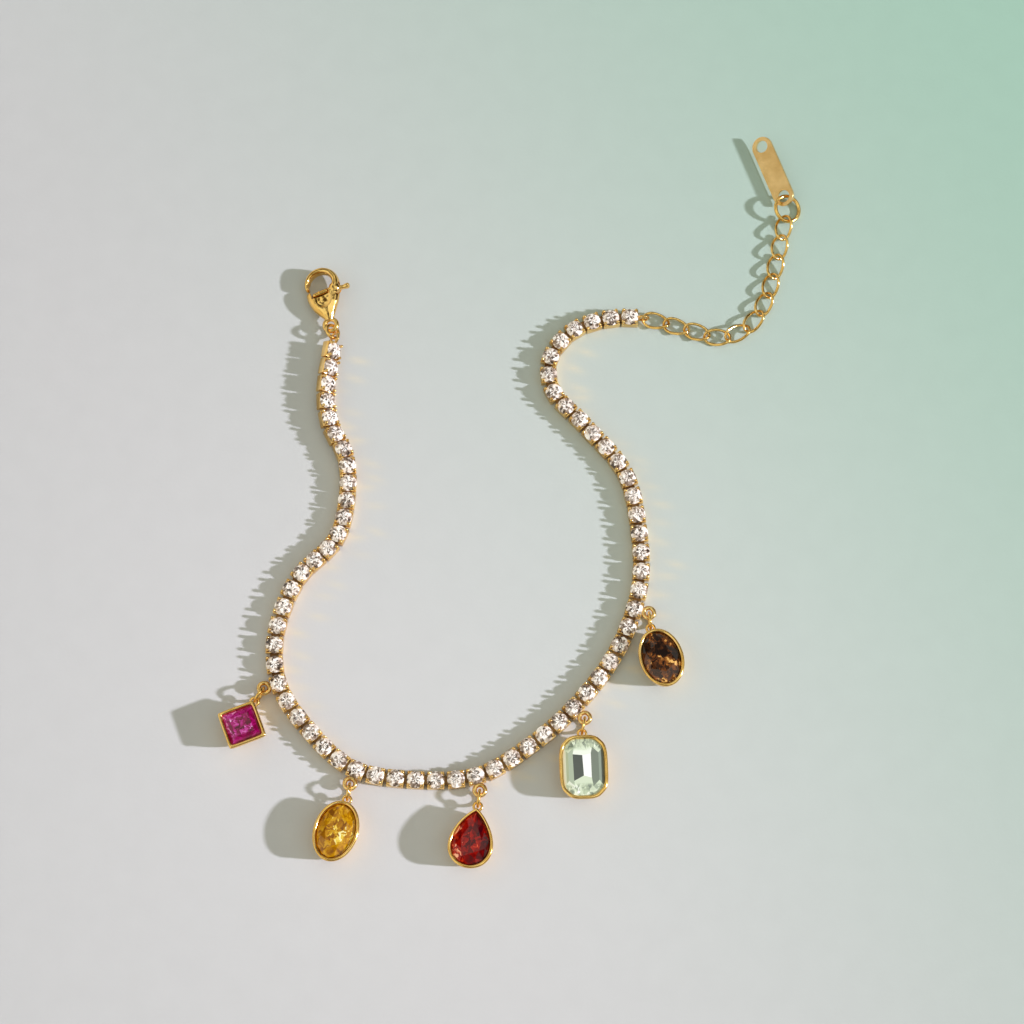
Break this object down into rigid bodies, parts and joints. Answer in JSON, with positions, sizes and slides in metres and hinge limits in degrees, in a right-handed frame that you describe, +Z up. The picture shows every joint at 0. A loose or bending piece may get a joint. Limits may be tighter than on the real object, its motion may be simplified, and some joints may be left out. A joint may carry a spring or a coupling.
{
  "type": "tennis bracelet",
  "caption": "Open gold tennis bracelet of clear stones in box settings, with bezel-set drops in mixed cuts and colours, a lobster clasp, and an extender chain with a tag.",
  "frame": {"origin": "middle of the bracelet's footprint, on the surface that it lies on", "axes": "+Z up off the surface, +Y along the long side of the footprint towards the tag, +X towards the extender chain"},
  "size_m": [0.0833, 0.1088, 0.0032],
  "materials": {
    "strand_gold": "polished gold settings with clear stones",
    "polished_gold": "polished yellow gold plating",
    "pink_square_glass": "faceted and polished",
    "citrine_oval_glass": "faceted and polished",
    "red_pear_glass": "faceted and polished",
    "pale_octagon_glass": "faceted and polished",
    "smoky_oval_glass": "faceted and polished"
  },
  "bodies": {
    "bracelet": {"stone_strand": "strand_gold", "pink_square_jump_ring": "polished_gold", "pink_square_bezel": "polished_gold", "pink_square_stone": "pink_square_glass", "citrine_oval_jump_ring": "polished_gold", "citrine_oval_bezel": "polished_gold", "citrine_oval_stone": "citrine_oval_glass", "red_pear_jump_ring": "polished_gold", "red_pear_bezel": "polished_gold", "red_pear_stone": "red_pear_glass", "pale_octagon_jump_ring": "polished_gold", "pale_octagon_bezel": "polished_gold", "pale_octagon_stone": "pale_octagon_glass", "smoky_oval_jump_ring": "polished_gold", "smoky_oval_bezel": "polished_gold", "smoky_oval_stone": "smoky_oval_glass", "clasp_body": "polished_gold", "clasp_ring": "polished_gold", "extender_link_01": "polished_gold", "extender_link_02": "polished_gold", "extender_link_03": "polished_gold", "extender_link_04": "polished_gold", "extender_link_05": "polished_gold", "extender_link_06": "polished_gold", "extender_link_07": "polished_gold", "extender_link_08": "polished_gold", "extender_link_09": "polished_gold", "extender_link_10": "polished_gold", "extender_link_11": "polished_gold", "end_ring": "polished_gold", "tag_plate": "polished_gold"},
    "clasp_lever": {"clasp_lever": "polished_gold"}
  },
  "joints": [
    {"name": "lever_pivot", "type": "hinge", "parent": "bracelet", "child": "clasp_lever", "pos_m": [-0.02677, 0.03024, 0.00172], "axis": [0.171, 0.0301, -0.9848], "range_deg": [0, 25], "stiffness_Nm_per_rad": 0.01, "springref_deg": -5.73}
  ]
}
